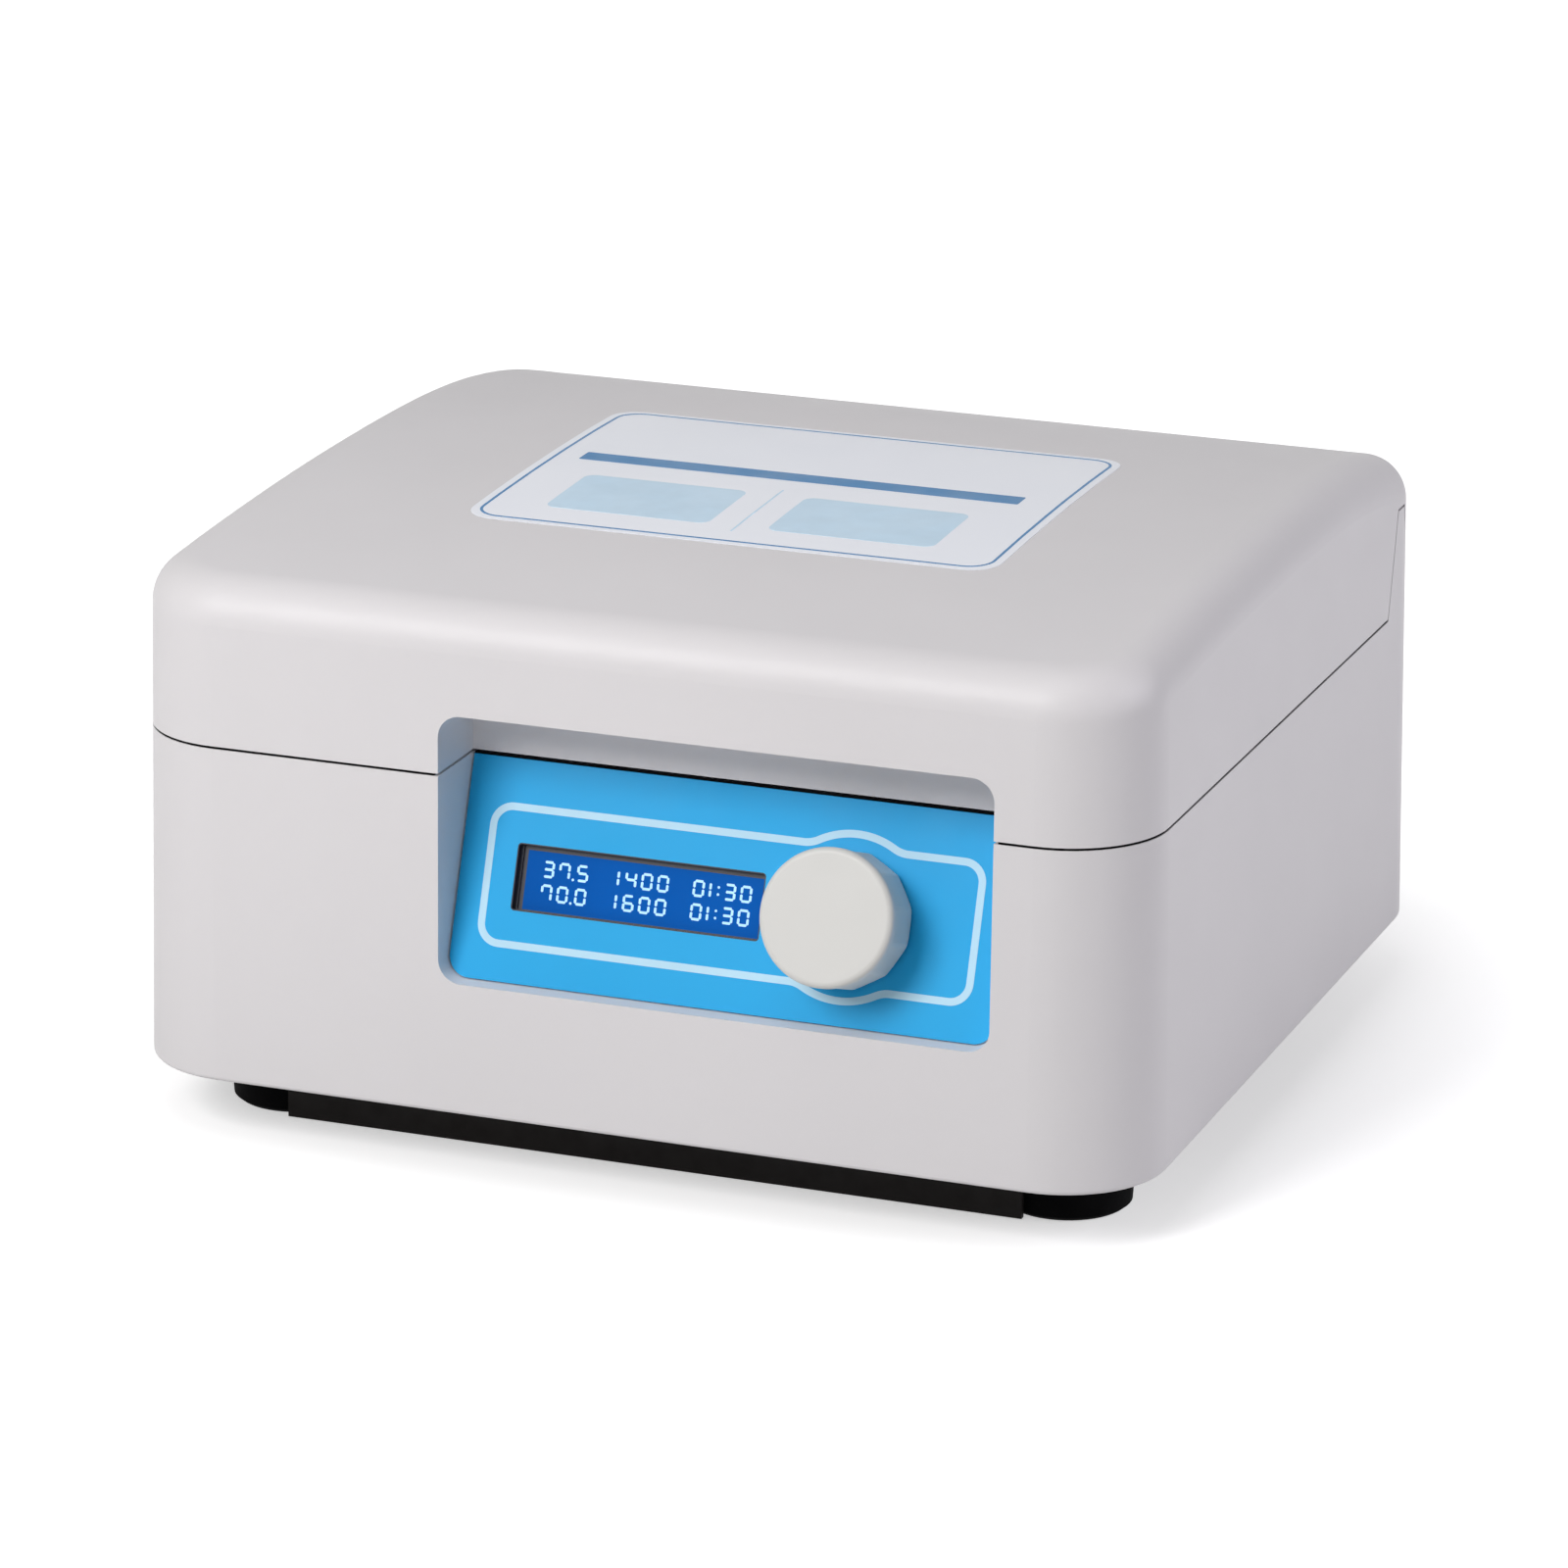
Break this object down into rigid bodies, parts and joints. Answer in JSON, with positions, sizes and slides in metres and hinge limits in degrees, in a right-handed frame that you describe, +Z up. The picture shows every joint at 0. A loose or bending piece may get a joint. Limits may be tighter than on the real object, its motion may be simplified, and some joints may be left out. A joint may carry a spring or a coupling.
{
  "type": "thermal mixer",
  "caption": "Bench thermal mixer with a hinged crowned lid, sloped control panel with display and knob, and an orbiting heated platform for microplates.",
  "frame": {"origin": "on the bench, under the middle of the overall width and depth, knob included", "axes": "+X to the user's right, +Y to the rear, +Z up"},
  "size_m": [0.273, 0.2688, 0.1546],
  "materials": {
    "housing_plastic": "fine moulded texture, warm light grey",
    "overlay_film": "printed polyester film, satin blue",
    "display_black": "black pressed bezel",
    "display_blue": "lit blue display",
    "knob_plastic": "soft satin off-white",
    "black_rubber": "matt black rubber",
    "silicone": "grey silicone",
    "dark_sheet": "dark powder coat",
    "steel": "zinc-plated or ground steel",
    "aluminium": "satin anodised",
    "black_plastic": "moulded black plastic",
    "liner_plastic": "formed liner, light grey",
    "foam": "closed-cell foam",
    "circuit": "green circuit board",
    "brass": "turned brass"
  },
  "bodies": {
    "base": {"base_housing": "housing_plastic", "bottom_pan": "dark_sheet", "rubber_feet": "black_rubber", "foot_screws": "steel", "pan_screws": "steel", "lid_bumpers": "black_rubber", "panel_overlay": "overlay_film", "display_frame": "display_black", "display_glass": "display_blue", "display_board": "circuit", "display_spacers": "black_plastic", "encoder_case": "steel", "encoder_nut": "steel", "chamber_tray": "steel", "chamber_foam": "foam", "mechanism_plate": "aluminium", "mechanism_pillars": "steel", "pillar_screws": "steel", "base_bearings": "steel", "drive_motor": "dark_sheet", "rear_panel": "dark_sheet", "power_inlet": "black_plastic", "inlet_pins": "brass", "inlet_screws": "steel", "switch_frame": "black_plastic", "fan_frame": "black_plastic", "power_board": "circuit", "control_board": "circuit", "board_standoffs": "black_plastic", "hinge_pins": "steel"},
    "lid": {"lid_shell": "housing_plastic", "lid_liner": "liner_plastic", "lid_heater_plate": "aluminium", "lid_heater_pad": "silicone", "lid_foam": "foam", "lid_gasket": "silicone", "lid_screws": "steel", "hinge_bushes": "black_plastic"},
    "plunger": {"encoder_plunger": "black_plastic"},
    "knob": {"knob_shaft": "steel", "control_knob": "knob_plastic"},
    "crank": {"drive_shaft": "steel", "counterweight": "brass"},
    "platform": {"heated_platform": "aluminium", "clamp_covers": "steel", "heater_mat": "silicone", "platform_standoffs": "black_plastic", "orbit_carrier": "aluminium", "carrier_bearings": "steel"},
    "clamp_left": {"plate_clamp_left": "black_plastic"},
    "clamp_right": {"plate_clamp_right": "black_plastic"},
    "rocker": {"power_rocker": "black_plastic"},
    "fan": {"fan_rotor": "black_plastic"},
    "idler_1": {"idler_crank_1": "steel"},
    "idler_2": {"idler_crank_2": "steel"},
    "idler_3": {"idler_crank_3": "steel"},
    "idler_4": {"idler_crank_4": "steel"}
  },
  "joints": [
    {"name": "lid_hinge", "type": "hinge", "parent": "base", "child": "lid", "pos_m": [0, 0.11947, 0.134], "axis": [-1, 0, 0], "range_deg": [0, 80]},
    {"name": "knob_push", "type": "slide", "parent": "base", "child": "plunger", "axis": [0, 0.9432, -0.3322], "range_m": [0, 0.0005], "stiffness_N_per_m": 3000, "springref_m": -0.0008},
    {"name": "knob_turn", "type": "hinge", "parent": "plunger", "child": "knob", "pos_m": [0.0567, -0.11345, 0.07682], "axis": [0, -0.9432, 0.3322], "continuous": true},
    {"name": "drive_spin", "type": "hinge", "parent": "base", "child": "crank", "pos_m": [-0.0015, 0.00447, 0.049], "axis": [0, 0, 1], "continuous": true},
    {"name": "platform_pivot", "type": "hinge", "parent": "crank", "child": "platform", "pos_m": [0, 0.00447, 0.059], "axis": [0, 0, 1], "continuous": true},
    {"name": "idler_spin_1", "type": "hinge", "parent": "base", "child": "idler_1", "pos_m": [-0.0675, -0.03953, 0.049], "axis": [0, 0, 1], "continuous": true},
    {"name": "idler_spin_2", "type": "hinge", "parent": "base", "child": "idler_2", "pos_m": [-0.0675, 0.04847, 0.049], "axis": [0, 0, 1], "continuous": true},
    {"name": "idler_spin_3", "type": "hinge", "parent": "base", "child": "idler_3", "pos_m": [0.0645, -0.03953, 0.049], "axis": [0, 0, 1], "continuous": true},
    {"name": "idler_spin_4", "type": "hinge", "parent": "base", "child": "idler_4", "pos_m": [0.0645, 0.04847, 0.049], "axis": [0, 0, 1], "continuous": true},
    {"name": "clamp_slide_left", "type": "slide", "parent": "platform", "child": "clamp_left", "axis": [0, 1, 0], "range_m": [0, 0.002], "stiffness_N_per_m": 800, "springref_m": -0.002},
    {"name": "clamp_slide_right", "type": "slide", "parent": "platform", "child": "clamp_right", "axis": [0, 1, 0], "range_m": [0, 0.002], "stiffness_N_per_m": 800, "springref_m": -0.002},
    {"name": "rocker_tilt", "type": "hinge", "parent": "base", "child": "rocker", "pos_m": [-0.03, 0.12817, 0.063], "axis": [1, 0, 0], "range_deg": [0, 18]},
    {"name": "fan_spin", "type": "hinge", "parent": "base", "child": "fan", "pos_m": [0.062, 0.12147, 0.063], "axis": [0, 1, 0], "continuous": true}
  ],
  "couplings": [
    {"joint": "platform_pivot", "follows": "drive_spin", "ratio": -1},
    {"joint": "idler_spin_1", "follows": "drive_spin", "ratio": 1},
    {"joint": "idler_spin_2", "follows": "drive_spin", "ratio": 1},
    {"joint": "idler_spin_3", "follows": "drive_spin", "ratio": 1},
    {"joint": "idler_spin_4", "follows": "drive_spin", "ratio": 1}
  ]
}
